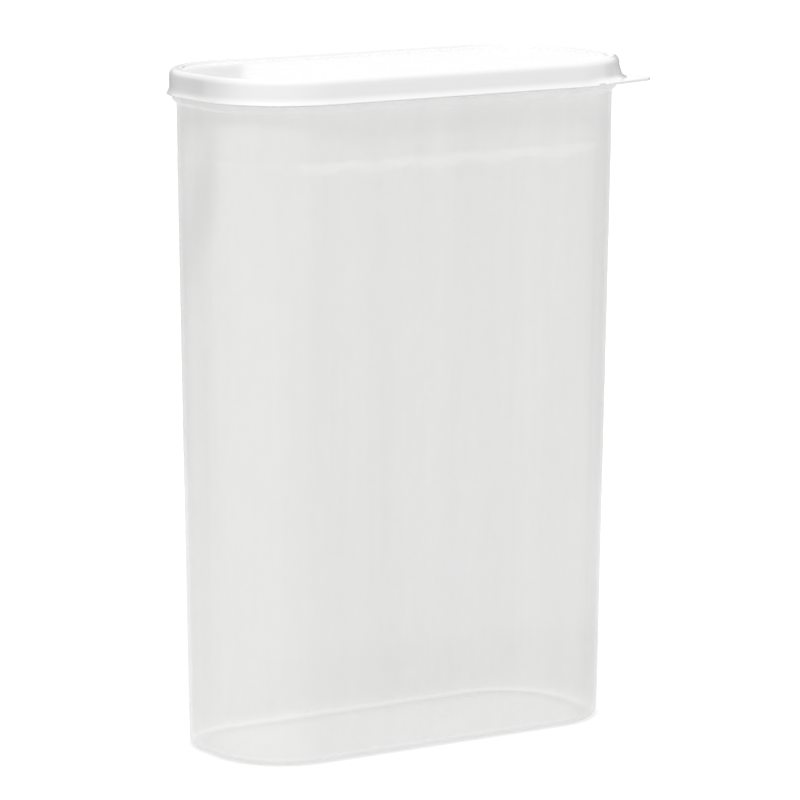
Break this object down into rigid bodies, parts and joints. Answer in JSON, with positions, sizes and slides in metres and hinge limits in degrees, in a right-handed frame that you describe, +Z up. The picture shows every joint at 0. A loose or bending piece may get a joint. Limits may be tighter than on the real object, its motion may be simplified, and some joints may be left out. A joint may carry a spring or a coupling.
{
  "type": "food storage container",
  "caption": "Tall oblong translucent tub with rounded ends and a white press-on lid with a corner pull tab, for storing dry food.",
  "frame": {"origin": "middle of the base, on the surface the container stands on", "axes": "+X along the length, towards the end whose front corner has the pull tab; +Y towards the back; +Z up"},
  "size_m": [0.1913, 0.087, 0.265],
  "materials": {
    "tub_plastic": "frosted translucent, natural polypropylene",
    "lid_plastic": "smooth white, softly glossy"
  },
  "bodies": {
    "root": {"tub": "tub_plastic", "lid": "lid_plastic"}
  },
  "joints": []
}
